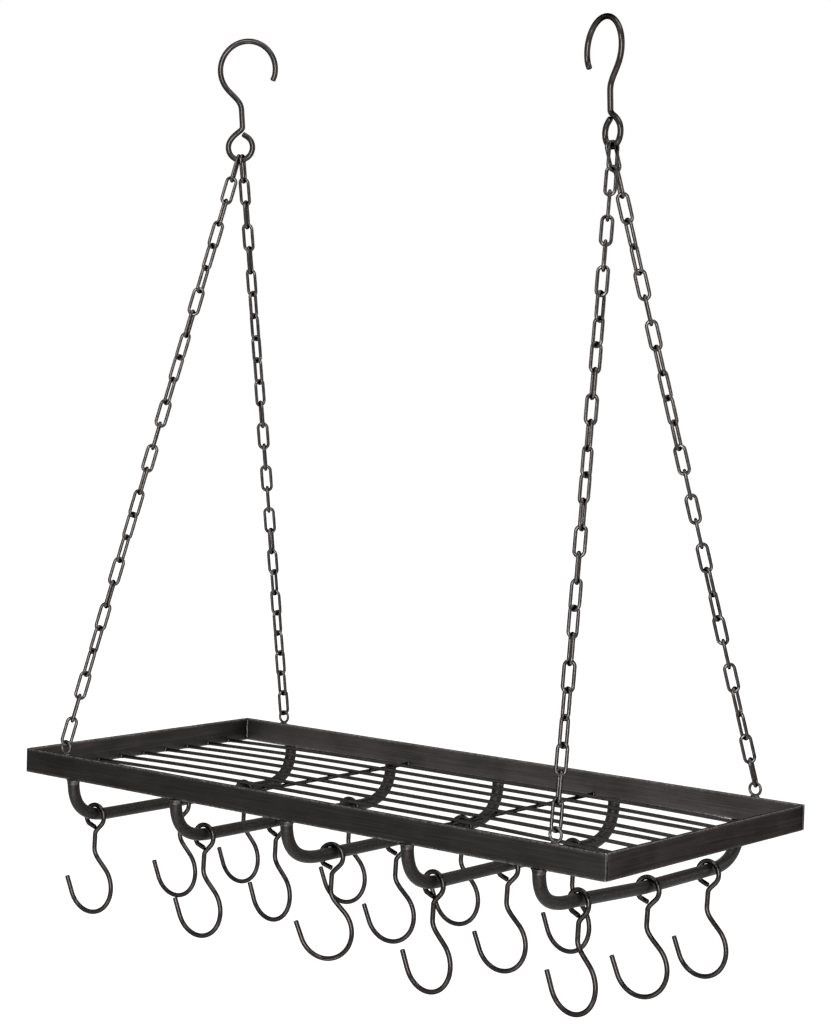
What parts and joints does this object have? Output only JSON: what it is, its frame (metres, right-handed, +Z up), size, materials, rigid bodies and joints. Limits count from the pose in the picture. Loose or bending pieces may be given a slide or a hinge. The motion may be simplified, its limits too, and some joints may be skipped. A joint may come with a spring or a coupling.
{
  "type": "hanging pot rack",
  "caption": "Rectangular black steel pot rack hung on chains from two ceiling hooks, with a rod shelf above and hook rails below.",
  "frame": {"origin": "above the shelf's middle, at the height where the left ceiling hook's crook bears on what holds it", "axes": "+X along the rack to its right, +Y to its back, +Z up"},
  "size_m": [0.6096, 0.2864, 0.7651],
  "materials": {
    "frame_steel": "black satin, lightly brushed",
    "rod_steel": "black satin",
    "hook_steel": "black semi-gloss",
    "chain_steel": "black oxide, worn to dark grey"
  },
  "bodies": {
    "ceiling_hooks": {"ceiling_hook_left": "hook_steel", "ceiling_hook_right": "hook_steel"},
    "top_links": {"top_link_front_left": "chain_steel", "top_link_back_left": "chain_steel", "top_link_front_right": "chain_steel", "top_link_back_right": "chain_steel"},
    "left_chains": {"chain_front_left": "chain_steel", "chain_back_left": "chain_steel"},
    "shelf": {"frame_front_bar": "frame_steel", "frame_back_bar": "frame_steel", "frame_left_bar": "frame_steel", "frame_right_bar": "frame_steel", "shelf_rod_1": "rod_steel", "shelf_rod_2": "rod_steel", "shelf_rod_3": "rod_steel", "shelf_rod_4": "rod_steel", "shelf_rod_5": "rod_steel", "shelf_rod_6": "rod_steel", "shelf_rod_7": "rod_steel", "shelf_rod_8": "rod_steel", "shelf_rod_9": "rod_steel", "cross_wire_left": "rod_steel", "cross_wire_right": "rod_steel", "hook_rail_1": "frame_steel", "hook_rail_2": "frame_steel", "hook_rail_3": "frame_steel", "hook_rail_4": "frame_steel", "hook_rail_5": "frame_steel", "chain_ring_front_left": "frame_steel", "chain_ring_back_left": "frame_steel", "chain_ring_front_right": "frame_steel", "chain_ring_back_right": "frame_steel"},
    "right_chains": {"chain_front_right": "chain_steel", "chain_back_right": "chain_steel"},
    "pot_hook_1_front": {"pot_hook_1_front": "hook_steel"},
    "pot_hook_1_middle": {"pot_hook_1_middle": "hook_steel"},
    "pot_hook_1_back": {"pot_hook_1_back": "hook_steel"},
    "pot_hook_2_front": {"pot_hook_2_front": "hook_steel"},
    "pot_hook_2_middle": {"pot_hook_2_middle": "hook_steel"},
    "pot_hook_2_back": {"pot_hook_2_back": "hook_steel"},
    "pot_hook_3_front": {"pot_hook_3_front": "hook_steel"},
    "pot_hook_3_middle": {"pot_hook_3_middle": "hook_steel"},
    "pot_hook_3_back": {"pot_hook_3_back": "hook_steel"},
    "pot_hook_4_front": {"pot_hook_4_front": "hook_steel"},
    "pot_hook_4_middle": {"pot_hook_4_middle": "hook_steel"},
    "pot_hook_4_back": {"pot_hook_4_back": "hook_steel"},
    "pot_hook_5_front": {"pot_hook_5_front": "hook_steel"},
    "pot_hook_5_middle": {"pot_hook_5_middle": "hook_steel"},
    "pot_hook_5_back": {"pot_hook_5_back": "hook_steel"}
  },
  "joints": [
    {"name": "front_back_swing", "type": "hinge", "parent": "ceiling_hooks", "child": "top_links", "pos_m": [-0.1968, -0.0025, -0.10032], "axis": [0.9999, 0, -0.0115], "range_deg": [-15, 15]},
    {"name": "side_sway", "type": "hinge", "parent": "top_links", "child": "left_chains", "pos_m": [-0.19868, -0.00243, -0.1163], "axis": [0, 1, 0], "range_deg": [-5, 5]},
    {"name": "shelf_pivot", "type": "hinge", "parent": "left_chains", "child": "shelf", "pos_m": [-0.25615, 0, -0.60621], "axis": [0, 1, 0], "range_deg": [-4, 4]},
    {"name": "right_chain_pivot", "type": "hinge", "parent": "shelf", "child": "right_chains", "pos_m": [0.25966, 0, -0.60621], "axis": [0, 1, 0], "range_deg": [-4, 4]},
    {"name": "pot_hook_1_front_swing", "type": "hinge", "parent": "shelf", "child": "pot_hook_1_front", "pos_m": [-0.246, -0.112, -0.66902], "axis": [0, 1, 0], "range_deg": [-75, 75]},
    {"name": "pot_hook_1_middle_swing", "type": "hinge", "parent": "shelf", "child": "pot_hook_1_middle", "pos_m": [-0.246, -0.008, -0.67064], "axis": [0, 1, 0], "range_deg": [-75, 75]},
    {"name": "pot_hook_1_back_swing", "type": "hinge", "parent": "shelf", "child": "pot_hook_1_back", "pos_m": [-0.246, 0.075, -0.67064], "axis": [0, 1, 0], "range_deg": [-75, 75]},
    {"name": "pot_hook_2_front_swing", "type": "hinge", "parent": "shelf", "child": "pot_hook_2_front", "pos_m": [-0.123, -0.1035, -0.66989], "axis": [0, 1, 0], "range_deg": [-75, 75]},
    {"name": "pot_hook_2_middle_swing", "type": "hinge", "parent": "shelf", "child": "pot_hook_2_middle", "pos_m": [-0.123, -0.0155, -0.67064], "axis": [0, 1, 0], "range_deg": [-75, 75]},
    {"name": "pot_hook_2_back_swing", "type": "hinge", "parent": "shelf", "child": "pot_hook_2_back", "pos_m": [-0.123, 0.0815, -0.67064], "axis": [0, 1, 0], "range_deg": [-75, 75]},
    {"name": "pot_hook_3_front_swing", "type": "hinge", "parent": "shelf", "child": "pot_hook_3_front", "pos_m": [0, -0.0825, -0.67064], "axis": [0, 1, 0], "range_deg": [-75, 75]},
    {"name": "pot_hook_3_middle_swing", "type": "hinge", "parent": "shelf", "child": "pot_hook_3_middle", "pos_m": [0, -0.001, -0.67064], "axis": [0, 1, 0], "range_deg": [-75, 75]},
    {"name": "pot_hook_3_back_swing", "type": "hinge", "parent": "shelf", "child": "pot_hook_3_back", "pos_m": [0, 0.088, -0.67064], "axis": [0, 1, 0], "range_deg": [-75, 75]},
    {"name": "pot_hook_4_front_swing", "type": "hinge", "parent": "shelf", "child": "pot_hook_4_front", "pos_m": [0.123, -0.1045, -0.67054], "axis": [0, 1, 0], "range_deg": [-75, 75]},
    {"name": "pot_hook_4_middle_swing", "type": "hinge", "parent": "shelf", "child": "pot_hook_4_middle", "pos_m": [0.123, -0.01, -0.67144], "axis": [0, 1, 0], "range_deg": [-75, 75]},
    {"name": "pot_hook_4_back_swing", "type": "hinge", "parent": "shelf", "child": "pot_hook_4_back", "pos_m": [0.123, 0.0805, -0.67144], "axis": [0, 1, 0], "range_deg": [-75, 75]},
    {"name": "pot_hook_5_front_swing", "type": "hinge", "parent": "shelf", "child": "pot_hook_5_front", "pos_m": [0.246, -0.0865, -0.66741], "axis": [0, 1, 0], "range_deg": [-75, 75]},
    {"name": "pot_hook_5_middle_swing", "type": "hinge", "parent": "shelf", "child": "pot_hook_5_middle", "pos_m": [0.246, 0.006, -0.67174], "axis": [0, 1, 0], "range_deg": [-75, 75]},
    {"name": "pot_hook_5_back_swing", "type": "hinge", "parent": "shelf", "child": "pot_hook_5_back", "pos_m": [0.246, 0.093, -0.67174], "axis": [0, 1, 0], "range_deg": [-75, 75]}
  ],
  "couplings": [
    {"joint": "shelf_pivot", "follows": "side_sway", "ratio": -0.768},
    {"joint": "right_chain_pivot", "follows": "side_sway", "ratio": 0.7775}
  ]
}
